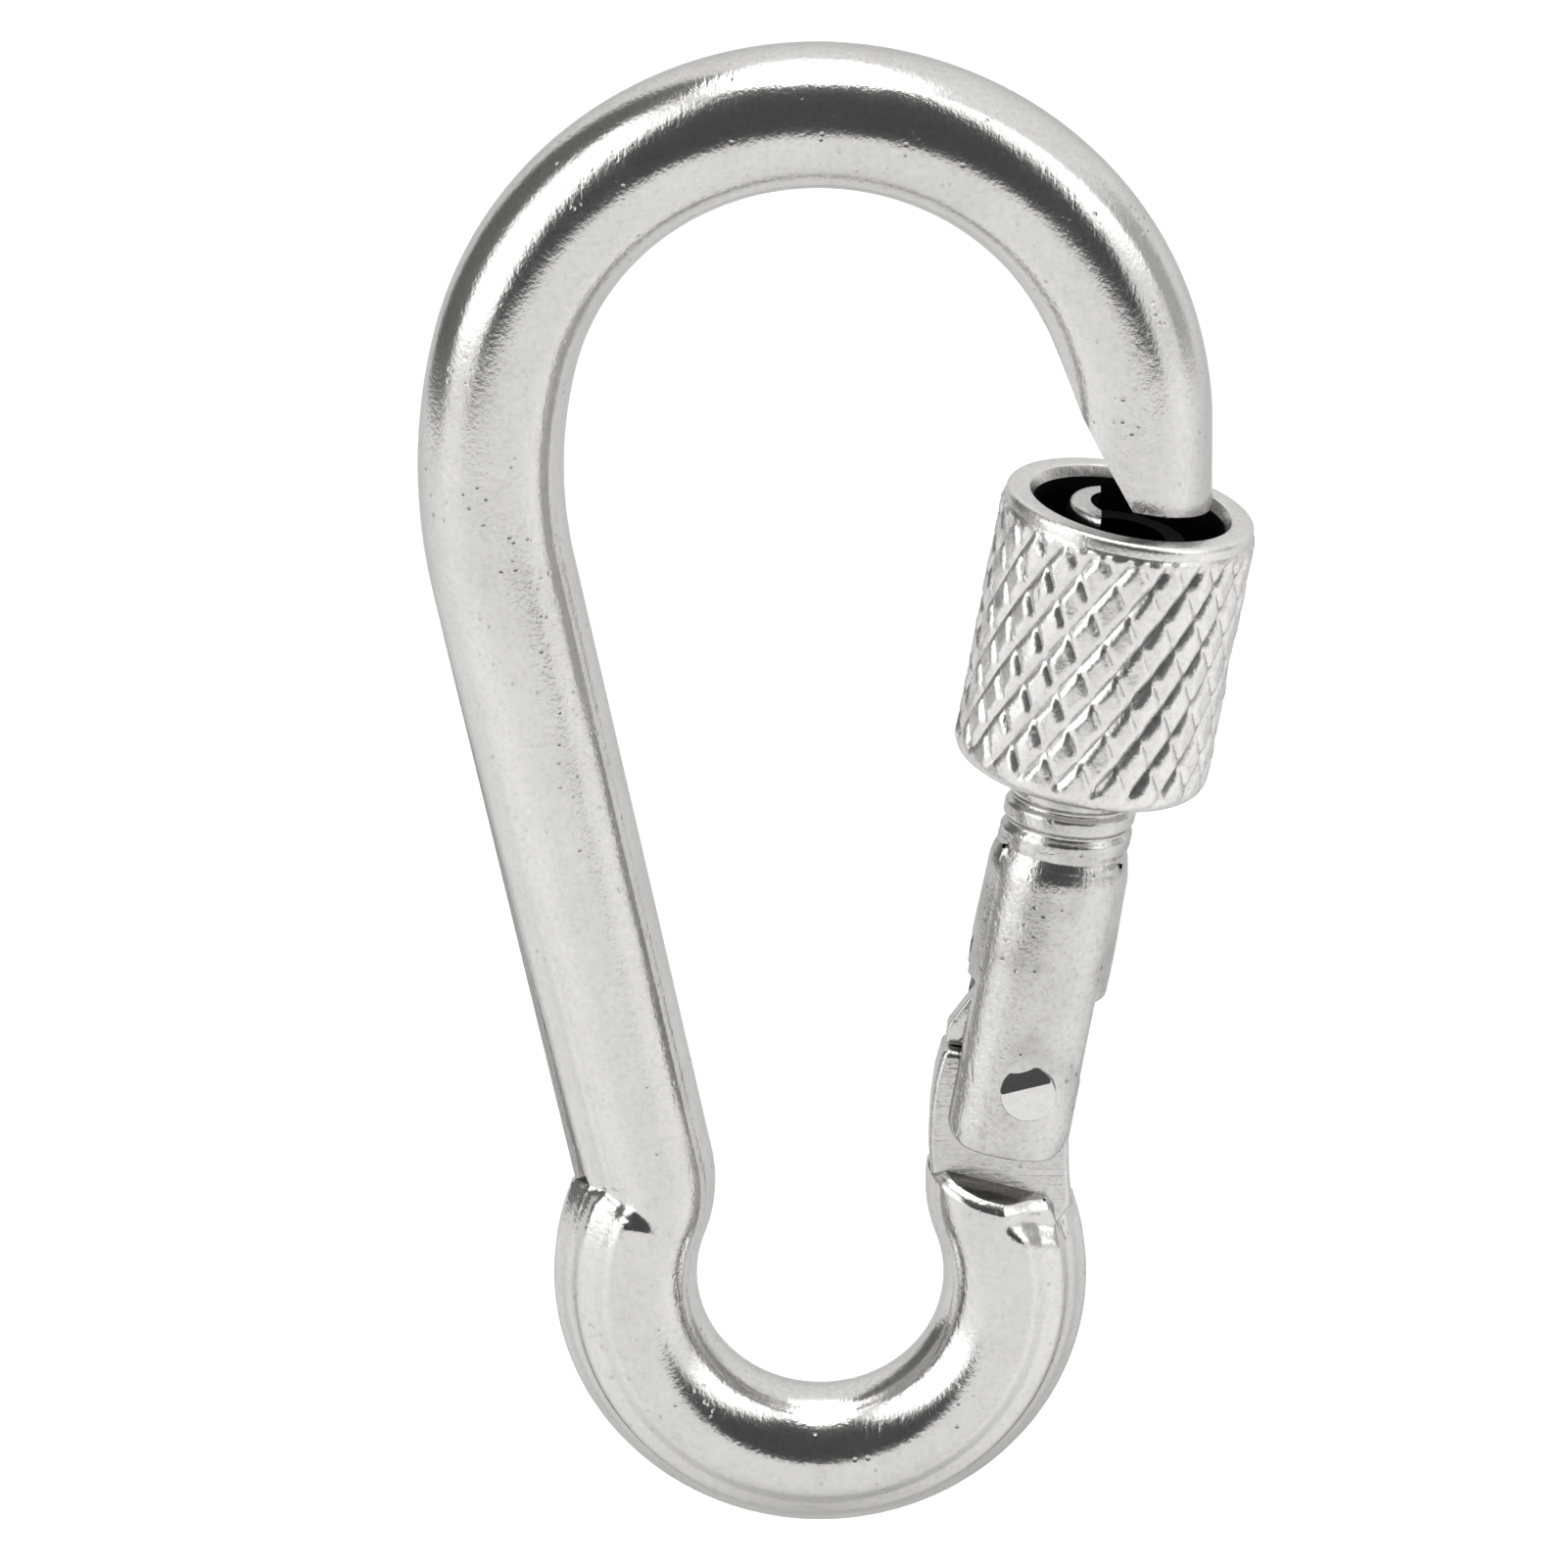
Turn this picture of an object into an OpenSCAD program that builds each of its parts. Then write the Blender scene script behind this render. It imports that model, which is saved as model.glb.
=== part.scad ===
// Spring snap hook keyring with a screw-lock sleeve.
// Upright in the XZ plane: +Z runs along the length, -Y is the front face.
// The origin is the inside of the crown, where the hook hangs from its anchor.

/* [Wire and bow] */
// Diameter of the hook's round wire
wire_d = 5.6; // [5:0.1:6.2]
// Centreline radius of the wide bow at the top
bow_r = 12.2; // [11:0.1:13.5]
// Angle above level where the bow's arc eases into the side arc
bow_end = 14; // [8:1:20]
// Centreline radius of the long side arc
side_r = 20; // [16:0.5:26]
// Lean of the straight spine from upright
spine_lean = 12.2; // [10:0.1:14]

/* [Small eye] */
// Centreline radius of the small eye at the bottom
eye_r = 7.5; // [6.8:0.1:8]
// Drop from the crown's centreline to the eye's centre
eye_drop = 46.87; // [44:0.1:49]
// Sideways place of the eye's centre
eye_x = 0.1; // [-0.5:0.05:0.6]
// Angle above level where the eye's arc turns into the tongue's limb
limb_end = 27; // [22:1:32]

/* [Nose] */
// Slant of the nose's end face, falling outwards
nose_slant = 12.5; // [8:0.5:15]
// Drop from the crown's centreline to the middle of the nose's end
nose_drop = 15.42; // [14.8:0.02:15.5]

/* [Hinge and tongue] */
// Sideways place of the hinge pin
pin_x = 8.03; // [7.6:0.01:8.4]
// Drop from the crown's centreline to the hinge pin
pin_drop = 38.55; // [37.5:0.05:39.5]
// Diameter of the hinge pin
pin_d = 2.2; // [1.8:0.1:2.6]
// Thickness of the flattened tongue
tongue_t = 2.3; // [1.8:0.1:2.6]
// Radial clearance of the pin in the tongue
pin_gap = 0.05; // [0.03:0.01:0.08]
// Radius of the tongue's round head about the pin
head_r = 1.95; // [1.8:0.05:2]
// Drop from the pin to the shoulder where the round wire ends
shoulder_drop = 4.45; // [4:0.05:4.8]

/* [Gate] */
// Lean of the closed gate from upright
gate_lean = 10.5; // [9:0.1:12]
// Diameter of the gate's plain barrel
gate_d = 5.5; // [5.2:0.1:5.6]
// Diameter of the gate's upper rod, inside the sleeve
rod_d = 4.7; // [4.4:0.1:5]
// Height of the gate's end above the pin, along the gate
gate_len = 23.15; // [22.5:0.05:23.2]
// Distance of the pin outwards from the gate's axis
pin_offset = 0.36; // [0:0.02:0.5]
// Width of the fork's slot
slot_w = 2.5; // [2.4:0.05:2.8]
// Height of the fork's slot above the pin
slot_top = 3.65; // [3.5:0.05:4]
// Diameter of the bore that holds the spring
bore_d = 3.3; // [3:0.1:3.5]
// Reach of the fork's cheeks below the pin
fork_drop = 2.83; // [2.6:0.05:3]
// Corner radius of the cheeks' ends
fork_round = 0.95; // [0.6:0.05:1.2]

/* [Thread] */
// Outside diameter of the gate's thread
thread_d = 5.1; // [4.9:0.1:5.2]
// Pitch of the thread
thread_pitch = 1.0; // [0.8:0.1:1.2]
// Depth of the thread
thread_depth = 0.32; // [0.2:0.02:0.4]
// Height above the pin where the thread starts
thread_from = 9.2; // [8:0.1:9.5]
// Length of the threaded stretch
thread_len = 7.0; // [6:1:9]

/* [Locking sleeve] */
// Diameter of the sleeve over its grip
sleeve_d = 9.8; // [9.2:0.1:10.2]
// Length of the sleeve
sleeve_len = 11.0; // [10:0.1:12]
// Height of the sleeve's rim above the pin, along the gate
sleeve_top = 23.3; // [23:0.05:23.4]
// Diameter of the sleeve's open bore
mouth_d = 7.1; // [7:0.1:7.4]
// Bore of the sleeve's threaded neck
neck_d = 5.25; // [5.2:0.01:5.4]
// Length of the threaded neck
neck_len = 3.2; // [2.5:0.1:4]

/* [Plunger and spring] */
// Gap between the plunger's foot and the tongue's heel
foot_gap = 0.04; // [0.02:0.01:0.08]
// Diameter of the plunger's head in the bore
plunger_d = 3.2; // [2.9:0.05:3.25]
// Outside diameter of the coil spring
spring_d = 2.9; // [2.6:0.1:3.1]
// Wire size of the coil spring
spring_wire = 0.45; // [0.35:0.05:0.5]
// Number of turns of the coil spring
spring_turns = 8; // [6:1:12]

/* [Hidden] */
$fn = 96;
eps = 0.01;
wire_r = wire_d / 2;

// heights are counted from the inside of the crown, one wire radius under the centreline
bow_z = wire_r - bow_r;
eye_z = wire_r - eye_drop;
pin_z = wire_r - pin_drop;

// side arc and spine
side_a0 = 180 - bow_end;
side_a1 = 180 + spine_lean;
side_x = bow_r * cos(side_a0) - side_r * cos(side_a0);
side_z = bow_z + bow_r * sin(side_a0) - side_r * sin(side_a0);
spine_x = side_x + side_r * cos(side_a1);
spine_z = side_z + side_r * sin(side_a1);

// the spine runs on until it meets the eye's centreline
run_dx = spine_x - eye_x;
run_dz = spine_z - eye_z;
run_b = run_dx * sin(spine_lean) - run_dz * cos(spine_lean);
run_c = run_dx * run_dx + run_dz * run_dz - eye_r * eye_r;
spine_len = -run_b - sqrt(run_b * run_b - run_c);
knee_x = spine_x + spine_len * sin(spine_lean);
knee_z = spine_z - spine_len * cos(spine_lean);
eye_a0 = atan2(knee_z - eye_z, knee_x - eye_x);
eye_a1 = 360 + limb_end;
limb_x = eye_x + eye_r * cos(limb_end);
limb_z = eye_z + eye_r * sin(limb_end);
limb_up = (limb_x - pin_x) * sin(gate_lean) + (limb_z - pin_z) * cos(gate_lean);
limb_out = (limb_x - pin_x) * cos(gate_lean) - (limb_z - pin_z) * sin(gate_lean) + pin_offset;

// a bend's end is sunk into its neighbour by a hair's breadth less than the wire's own size
blend_d = wire_d - 0.06;
knee_d = wire_d + 0.06;
blend_deg = 1;
blend_len = 0.15;

// tongue, in the closed gate's own frame
heel_x = -3.02;
heel_z = 0.56;
heel_round = 0.3;
heel_side = -2.3;
head_foot = -1.2;
inner_knee = [-2.8, -4.6];
inner_foot = [-1.9, -6.2];
waist_x = 2.38;
waist_top = -1.5;
waist_foot = -2.2;
outer_knee = [2.65, -3.6];
outer_bulge = [2.95, -4.75];
outer_foot = [2.38, -6.2];
cheek_in = 2.36;
cheek_out = 2.3;
fork_step = 3.25;
step_chamfer = 0.4;
keyway_w = 1.2;
keyway_top = 5.1;

// nose
nose_cut_top = 8.9;
nose_cut_mid = 11.5;
nose_cut_end = 16.5;
nose_in_top = 8.95;
nose_in_mid = 10.05;
nose_in_end = 12.8;
nose_mid_x = 13.4;
nose_pad = 30;
nose_len = 6;

// hinge pin, a hair proud of the cheeks
pin_half = gate_d / 2 + 0.05;
pin_chamfer = 0.2;

// thread crest, as shares of the pitch
crest_from = 0.38;
crest_to = 0.62;

// gate interior
bore_top = 20.2;
gate_notch_depth = 1.1;
gate_lip = 1.2;
barrel_top = thread_from;
thread_to = thread_from + thread_len;
end_chamfer = 0.3;

// sleeve interior and edges
sleeve_bottom = sleeve_top - sleeve_len;
rim_chamfer = 0.25;
rim_slope = 0.5;
foot_chamfer = 0.9;
mouth_flare = 0.35;

// plunger and spring stack
foot_z = heel_z + foot_gap;
head_z = 2.35;
head_len = 6.4;
blade_in = -2.95;
blade_out = -1.55;
blade_t = 1.0;
blade_low = 0.15;
blade_root = 1.2;
blade_neck = 3.15;
blade_top = [-2.3, 2.76];
blade_tip = [-3, 1.3];
stem_d = 1.6;
stem_len = 2.6;
spring_from = head_z + head_len;
spring_to = bore_top;
spring_sides = 16;
spring_steps = 12;
neck_slope = (mouth_d - neck_d) / 4;

module arc(cx, cz, r, a0, a1, d)
    translate([cx, 0, cz])
        rotate([90, 0, 0])
            rotate([0, 0, a0])
                rotate_extrude(angle = a1 - a0)
                    translate([r, 0])
                        circle(d = d);

module in_plane(t)
    rotate([90, 0, 0])
        linear_extrude(height = t, center = true)
            children();

module at_gate()
    translate([pin_x, 0, pin_z])
        rotate([0, gate_lean, 0])
            translate([-pin_offset, 0, 0])
                children();

// flat tongue that the gate's fork straddles
module tongue()
    at_gate()
        in_plane(tongue_t) {
            translate([pin_offset, 0])
                circle(r = head_r);
            translate([heel_x + heel_round, heel_z - heel_round])
                circle(r = heel_round);
            polygon([
                [heel_x, heel_z - heel_round],
                [heel_x, heel_side],
                inner_knee,
                inner_foot,
                outer_foot,
                outer_bulge,
                outer_knee,
                [waist_x, waist_foot],
                [waist_x, waist_top],
                [pin_offset + head_r, 0],
                [pin_offset, 0],
                [head_foot, heel_z],
                [heel_x + heel_round, heel_z]
            ]);
        }

// space beside the tongue, above the shoulder
module shoulder_cut()
    at_gate()
        translate([-wire_d, tongue_t / 2, -shoulder_drop])
            cube([2 * wire_d, wire_d, 2 * wire_d]);

module eye_wire()
    difference() {
        union() {
            arc(eye_x, eye_z, eye_r, eye_a0, eye_a1, wire_d);
            translate([limb_x, 0, limb_z])
                sphere(d = knee_d);
            at_gate()
                translate([limb_out, 0, limb_up])
                    cylinder(d = wire_d, h = -shoulder_drop - limb_up + blend_len);
        }
        shoulder_cut();
        mirror([0, 1, 0])
            shoulder_cut();
    }

module nose_cut()
    in_plane(nose_pad) {
        polygon([
            [0, wire_r - nose_cut_top],
            [nose_in_top, wire_r - nose_cut_top],
            [nose_in_mid, wire_r - nose_cut_mid],
            [nose_in_end, wire_r - nose_cut_end],
            [nose_in_end, wire_r - nose_pad],
            [0, wire_r - nose_pad]
        ]);
        translate([nose_mid_x, wire_r - nose_drop])
            rotate(-nose_slant)
                translate([-nose_pad / 2, -nose_pad])
                    square([nose_pad, nose_pad]);
    }

module bow_wire()
    difference() {
        union() {
            arc(0, bow_z, bow_r, 0, side_a0, wire_d);
            translate([bow_r, 0, bow_z - nose_len])
                cylinder(d = blend_d, h = nose_len + blend_len / 2);
        }
        nose_cut();
    }

module hook_body()
    color([0.74, 0.74, 0.73])
        difference() {
            union() {
                bow_wire();
                arc(side_x, side_z, side_r, side_a0 - blend_deg / 2, side_a1, blend_d);
                translate([knee_x, 0, knee_z])
                    rotate([0, -spine_lean, 0])
                        cylinder(d = wire_d, h = spine_len + blend_len);
                translate([knee_x, 0, knee_z])
                    sphere(d = knee_d);
                eye_wire();
                tongue();
            }
            translate([pin_x, 0, pin_z])
                rotate([90, 0, 0])
                    cylinder(r = pin_d / 2 + pin_gap, h = 2 * wire_d, center = true);
        }

// side outline of the fork's two cheeks
module cheek_outline() {
    translate([-cheek_in, fork_round - fork_drop])
        square([cheek_in + cheek_out, fork_step + fork_drop - fork_round + eps]);
    translate([fork_round - cheek_in, -fork_drop])
        square([cheek_in + cheek_out - 2 * fork_round, fork_drop]);
    translate([fork_round - cheek_in, fork_round - fork_drop])
        circle(r = fork_round);
    translate([cheek_out - fork_round, fork_round - fork_drop])
        circle(r = fork_round);
}

module thread_profile()
    polygon(concat(
        [[0, thread_from - eps]],
        [for (i = [0 : thread_len / thread_pitch - 1]) each [
            [thread_d / 2 - thread_depth, thread_from + i * thread_pitch],
            [thread_d / 2, thread_from + (i + crest_from) * thread_pitch],
            [thread_d / 2, thread_from + (i + crest_to) * thread_pitch]
        ]],
        [
            [thread_d / 2 - thread_depth, thread_to],
            [0, thread_to]
        ]
    ));

module gate_outside() {
    intersection() {
        cylinder(d = gate_d, h = 4 * gate_d, center = true);
        in_plane(2 * gate_d)
            cheek_outline();
    }
    rotate_extrude()
        polygon([
            [0, fork_step],
            [gate_d / 2 - step_chamfer, fork_step],
            [gate_d / 2, fork_step + step_chamfer],
            [gate_d / 2, barrel_top - step_chamfer],
            [thread_d / 2 - thread_depth, barrel_top],
            [0, barrel_top]
        ]);
    rotate_extrude()
        thread_profile();
    rotate_extrude()
        polygon([
            [0, thread_to - eps],
            [rod_d / 2 - end_chamfer, thread_to - eps],
            [rod_d / 2, thread_to + end_chamfer],
            [rod_d / 2, gate_len - end_chamfer],
            [rod_d / 2 - end_chamfer, gate_len],
            [0, gate_len]
        ]);
}

module gate()
    color([0.72, 0.72, 0.71])
        at_gate()
            difference() {
                gate_outside();
                // fork slot, open on both sides and at the bottom
                translate([-gate_d, -slot_w / 2, -gate_d])
                    cube([2 * gate_d, slot_w, slot_top + gate_d]);
                // blind bore for the spring and the plunger's head
                cylinder(d = bore_d, h = bore_top);
                // way for the plunger's blade, open on the inner side
                translate([-gate_d, -keyway_w / 2, 0])
                    cube([gate_d, keyway_w, keyway_top]);
                // seat for the nose in the gate's end
                translate([gate_lip - rod_d / 2, -gate_d, gate_len - gate_notch_depth])
                    cube([2 * gate_d, 2 * gate_d, gate_d]);
                translate([pin_offset, 0, 0])
                    rotate([90, 0, 0])
                        cylinder(d = pin_d, h = 2 * gate_d, center = true);
            }

module hinge_pin()
    color([0.66, 0.66, 0.66])
        translate([pin_x, 0, pin_z])
            rotate([90, 0, 0])
                rotate_extrude()
                    polygon([
                        [0, -pin_half],
                        [pin_d / 2 - pin_chamfer, -pin_half],
                        [pin_d / 2, pin_chamfer - pin_half],
                        [pin_d / 2, pin_half - pin_chamfer],
                        [pin_d / 2 - pin_chamfer, pin_half],
                        [0, pin_half]
                    ]);

module locking_sleeve()
    color([0.76, 0.76, 0.75])
        at_gate()
            rotate_extrude()
                polygon([
                    [neck_d / 2, sleeve_bottom],
                    [sleeve_d / 2 - foot_chamfer, sleeve_bottom],
                    [sleeve_d / 2, sleeve_bottom + foot_chamfer],
                    [sleeve_d / 2, sleeve_top - rim_chamfer - rim_slope],
                    [sleeve_d / 2 - rim_chamfer, sleeve_top - rim_chamfer],
                    [sleeve_d / 2 - 2 * rim_chamfer, sleeve_top],
                    [mouth_d / 2 + mouth_flare, sleeve_top],
                    [mouth_d / 2, sleeve_top - 2 * mouth_flare],
                    [mouth_d / 2, sleeve_bottom + neck_len + neck_slope],
                    [neck_d / 2, sleeve_bottom + neck_len]
                ]);

module spring_plunger()
    color([0.80, 0.80, 0.79])
        at_gate() {
            translate([0, 0, head_z])
                cylinder(d = plunger_d, h = head_len);
            translate([0, 0, spring_from - eps])
                cylinder(d = stem_d, h = stem_len);
            in_plane(blade_t)
                polygon([
                    [blade_in, foot_z],
                    [blade_out, foot_z],
                    [blade_out, head_z - blade_low],
                    [0, head_z - blade_low],
                    [0, head_z + blade_root],
                    [blade_out, blade_neck],
                    blade_top,
                    blade_tip
                ]);
        }

// one turn of the coil covers half its circumference at any height
module gate_spring()
    color([0.60, 0.60, 0.62])
        at_gate()
            translate([0, 0, spring_from])
                linear_extrude(
                    height = spring_to - spring_from,
                    twist = -360 * spring_turns,
                    slices = spring_steps * spring_turns,
                    $fn = spring_sides
                )
                    difference() {
                        circle(d = spring_d, $fn = spring_sides);
                        circle(d = spring_d - 2 * spring_wire, $fn = spring_sides);
                        translate([-spring_d, -spring_d])
                            square([2 * spring_d, spring_d]);
                    }

hook_body();
gate();
hinge_pin();
locking_sleeve();
spring_plunger();
gate_spring();
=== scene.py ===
import math
import random

import bmesh
import bpy
from bpy.props import FloatProperty, FloatVectorProperty, IntProperty, PointerProperty
from mathutils import Matrix, Vector, noise


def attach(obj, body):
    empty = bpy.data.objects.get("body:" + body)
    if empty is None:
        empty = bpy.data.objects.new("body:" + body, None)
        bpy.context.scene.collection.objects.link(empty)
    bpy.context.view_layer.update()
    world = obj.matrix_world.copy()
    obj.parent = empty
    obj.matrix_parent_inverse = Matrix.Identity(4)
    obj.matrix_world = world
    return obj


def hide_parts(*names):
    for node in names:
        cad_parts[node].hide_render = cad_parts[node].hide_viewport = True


bl_info = {
    "name": "Snap Hook Keyring",
    "version": (1, 0, 0),
    "blender": (4, 5, 0),
    "location": "View3D > Sidebar > Keyring",
    "description": "Builds a spring snap hook with a knurled locking sleeve",
    "category": "Object",
}

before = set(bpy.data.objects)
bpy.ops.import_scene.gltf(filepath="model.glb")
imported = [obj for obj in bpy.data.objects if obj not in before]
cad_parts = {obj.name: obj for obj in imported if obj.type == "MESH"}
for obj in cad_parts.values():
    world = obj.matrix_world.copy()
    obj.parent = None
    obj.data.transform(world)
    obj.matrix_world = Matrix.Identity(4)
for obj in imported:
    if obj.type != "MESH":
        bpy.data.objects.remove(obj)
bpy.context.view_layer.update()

MM = 0.001
TAU = math.tau
CLOCKWISE = Vector((0, 1, 0))
ANTICLOCKWISE = Vector((0, -1, 0))
# vertices closer than this, in metres, are one
MERGE = 2e-7

# The hook's plan in millimetres and degrees. The origin is at the inside of the crown.
BOW_CENTRE = (0.0, -9.4)
BOW_R = 12.2
SIDE_R = 20.0
BOW_END = 166.0
SPINE_LEAN = 12.2
KNEE_R = 3.0
RING_STEP = 1.5
EYE_CENTRE = (0.1, -44.07)
EYE_R = 7.5
LIMB_FROM = 27.0
NOSE_LENGTH = 9.0
PIN = (8.03, -35.75)
PIN_OFFSET = 0.36
GATE_LEAN = 10.5

# The gate's own frame has the pin near its origin and the gate's length along Z.
AT_PIN = Matrix.Translation((PIN[0] * MM, 0, PIN[1] * MM))
GATE = (
    AT_PIN
    @ Matrix.Rotation(math.radians(GATE_LEAN), 4, "Y")
    @ Matrix.Translation((-PIN_OFFSET * MM, 0, 0))
)
# a frame at the pin whose Z is the pin's axis
ALONG_PIN = AT_PIN @ Matrix.Rotation(math.pi / 2, 4, "X")

# The fork and the tongue between its cheeks, in the gate's frame, in millimetres.
SLOT = 1.25
CHEEK_TOP = 9.3
TONGUE = 2.3
PIN_HOLE_R = 1.15
THREAD_FROM = 8.4
THREAD_TO = 16.3
TUBE_TO = 16.4

# The sleeve in the gate's frame, in millimetres.
SLEEVE_LOW = 12.3
SLEEVE_HIGH = 23.3
SLEEVE_R = 4.93
SLEEVE_BORE_R = 2.625
SLEEVE_MOUTH_R = 3.55
DIAMOND_CELLS = 12
DIAMOND_RISE = 2.43
KNURL_LOW = SLEEVE_LOW + 0.85
KNURL_ROWS = round((SLEEVE_HIGH - 0.62 - KNURL_LOW) / (DIAMOND_RISE / DIAMOND_CELLS))
KNURL_HIGH = KNURL_LOW + KNURL_ROWS * DIAMOND_RISE / DIAMOND_CELLS

FLOOR_Z = -62.0


def flat(x, z):
    """A point of the hook's own plane, from millimetres."""
    return Vector((x * MM, 0, z * MM))


def polar(centre, radius, degrees):
    """A point on a circle in the hook's own plane, in millimetres."""
    a = math.radians(degrees)
    return centre[0] + radius * math.cos(a), centre[1] + radius * math.sin(a)


def smooth_step(lo, hi, x):
    """0 below lo, 1 above hi and a smooth rise between them."""
    t = min(max((x - lo) / (hi - lo), 0), 1)
    return t * t * (3 - 2 * t)


# ---------------------------------------------------------------- shader maths


class Sock:
    """A socket of a shader tree that can be used in ordinary arithmetic."""

    def __init__(self, tree, out):
        self.tree = tree
        self.out = out

    def math(self, operation, *others, swap=False):
        """This socket through one step of a Math node; swap puts it last."""
        values = [self, *others]
        if swap:
            values.reverse()
        return self.tree.node("ShaderNodeMath", {"operation": operation}, *values)

    def __add__(self, other):
        return self.math("ADD", other)

    def __sub__(self, other):
        return self.math("SUBTRACT", other)

    def __rsub__(self, other):
        return self.math("SUBTRACT", other, swap=True)

    def __mul__(self, other):
        return self.math("MULTIPLY", other)

    def __truediv__(self, other):
        return self.math("DIVIDE", other)

    def __pow__(self, other):
        return self.math("POWER", other)

    __radd__ = __add__
    __rmul__ = __mul__

    def rise(self, lo, hi):
        """0 below lo, 1 above hi and a smooth rise between them."""
        return self.tree.node(
            "ShaderNodeMapRange", {"interpolation_type": "SMOOTHSTEP"}, self, lo, hi, 0.0, 1.0
        )

    def between(self, lo, hi, edge):
        """1 between lo and hi, fading out over the edge's width on both sides."""
        return self.rise(lo - edge, lo + edge) * (1 - self.rise(hi - edge, hi + edge))


class Tree:
    """A node tree that is being built."""

    def __init__(self, tree):
        self.tree = tree
        tree.nodes.clear()

    def node(self, kind, settings=None, *values, out=0, **named):
        """Makes a node. Settings come first, then values or links for its sockets."""
        made = self.tree.nodes.new(kind)
        for key, value in (settings or {}).items():
            setattr(made, key, value)
        for key, value in [*enumerate(values), *named.items()]:
            socket = made.inputs[key.replace("_", " ") if isinstance(key, str) else key]
            if isinstance(value, Sock):
                self.tree.links.new(value.out, socket)
            elif value is not None:
                socket.default_value = value
        return Sock(self, made.outputs[out]) if made.outputs else None

    def mix(self, factor, a, b):
        """Colour a where factor is 0 and b where it is 1."""
        made = self.tree.nodes.new("ShaderNodeMix")
        made.data_type = "RGBA"
        for index, value in ((0, factor), (6, a), (7, b)):
            if isinstance(value, Sock):
                self.tree.links.new(value.out, made.inputs[index])
            else:
                made.inputs[index].default_value = value
        return Sock(self, made.outputs[2])

    def parts(self, vector):
        """The X, Y and Z of a vector."""
        made = self.tree.nodes.new("ShaderNodeSeparateXYZ")
        self.tree.links.new(vector.out, made.inputs[0])
        return [Sock(self, socket) for socket in made.outputs]

    def noise(self, place, scale, detail=2.0, rough=0.5):
        """Smooth noise, with its scale in cycles per metre."""
        return self.node(
            "ShaderNodeTexNoise", Vector=place, Scale=scale, Detail=detail, Roughness=rough
        )


def grey(level):
    """A grey with full alpha."""
    return level, level, level, 1.0


def paint(colour, factor=1.0):
    """The colour, made lighter or darker, with full alpha."""
    return (*[c * factor for c in colour], 1.0)


def scaled(colour, factor):
    """The colour, made lighter or darker."""
    return [c * factor for c in colour]


def steel(name, colour, rough, grain=1.0, pits=1.0, dirt=0.0, brushed=0.0):
    """Tumbled stainless steel with a fine grain, small pits and soft scratches."""
    material = bpy.data.materials.new(name)
    material.use_nodes = True
    t = Tree(material.node_tree)
    place = t.node("ShaderNodeTexCoord", out="Object")
    fine = t.noise(place, 6200.0, 2.0, 0.6)
    swell = t.noise(place, 700.0, 2.0, 0.55)
    cloud = t.noise(place, 230.0, 3.0, 0.6)
    spread = t.noise(place, 520.0, 2.0, 0.5)
    speck = t.noise(place, 4200.0, 3.0, 0.7)
    cell = t.node("ShaderNodeTexVoronoi", {"feature": "F1"}, Vector=place, Scale=2100.0)
    pit = (1 - cell.rise(0.08, 0.26)) * spread.rise(0.50, 0.66)

    # surface relief: grain, swell and pits, then scratches two ways and the brushed lines
    height = fine * (1.7 * grain) + swell * 2.6 - pit * (2.4 * pits)
    for angles, across in (((0.3, 0.9, 0.2), 5200.0), ((1.2, -0.5, 0.7), 4300.0)):
        stretch = (across, 900.0, 900.0)
        turned = t.node("ShaderNodeMapping", Vector=place, Rotation=angles, Scale=stretch)
        height = height - t.noise(turned, 1.0, 1.0, 0.4).rise(0.60, 0.80) * (0.5 * grain)
    if brushed:
        stretch = (300.0, 900.0, 9000.0)
        turned = t.node("ShaderNodeMapping", Vector=place, Rotation=(0, -0.2, 0), Scale=stretch)
        height = height + t.noise(turned, 1.0, 3.0, 0.6) * (3.0 * brushed)
    bump = t.node("ShaderNodeBump", Strength=1.0, Distance=6e-6, Height=height)
    roughness = fine * 0.10 + spread * 0.08 + pit * 0.12 + (rough - 0.09)

    # colour: clouds, dark and light specks, dark pits and grime
    shade = t.mix(cloud.rise(0.35, 0.7) * 0.6, paint(colour, 1.04), paint(colour, 0.92))
    shade = t.mix(speck.rise(0.50, 0.68) * (0.35 * grain), shade, paint(colour, 0.74))
    shade = t.mix((1 - speck.rise(0.34, 0.46)) * 0.4, shade, paint(colour, 1.16))
    shade = t.mix(pit * (0.35 * pits), shade, paint(colour, 0.45))
    if dirt:
        shade = t.mix(spread.rise(0.45, 0.7) * dirt, shade, paint(colour, 0.5))
    shader = t.node(
        "ShaderNodeBsdfPrincipled",
        Base_Color=shade,
        Metallic=1.0,
        Roughness=roughness,
        Specular_Tint=grey(0.6),
        Normal=bump,
    )
    t.node("ShaderNodeOutputMaterial", Surface=shader)
    return material


def painted_shade_steel(name, colour):
    """Painted shade: the steel made nearly black, for faces deep inside that light hardly reaches."""
    return steel(name, scaled(colour, 0.015), 0.6)


# ---------------------------------------------------------------- mesh helpers


def finish_mesh(bm, name, material, turn=True):
    """Closes up the mesh, points its faces outwards and makes the object."""
    bmesh.ops.remove_doubles(bm, verts=bm.verts, dist=MERGE)
    bmesh.ops.dissolve_degenerate(bm, edges=bm.edges, dist=MERGE / 2)
    if turn:
        bmesh.ops.recalc_face_normals(bm, faces=bm.faces)
    for face in bm.faces:
        face.smooth = True
    mesh = bpy.data.meshes.new(name)
    bm.to_mesh(mesh)
    bm.free()
    mesh.materials.append(material)
    made = bpy.data.objects.new(name, mesh)
    bpy.context.scene.collection.objects.link(made)
    return made


def rebuild(piece, bm):
    """Puts the mesh back into the piece."""
    bmesh.ops.recalc_face_normals(bm, faces=bm.faces)
    for face in bm.faces:
        face.smooth = True
    bm.to_mesh(piece.data)
    bm.free()


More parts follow.
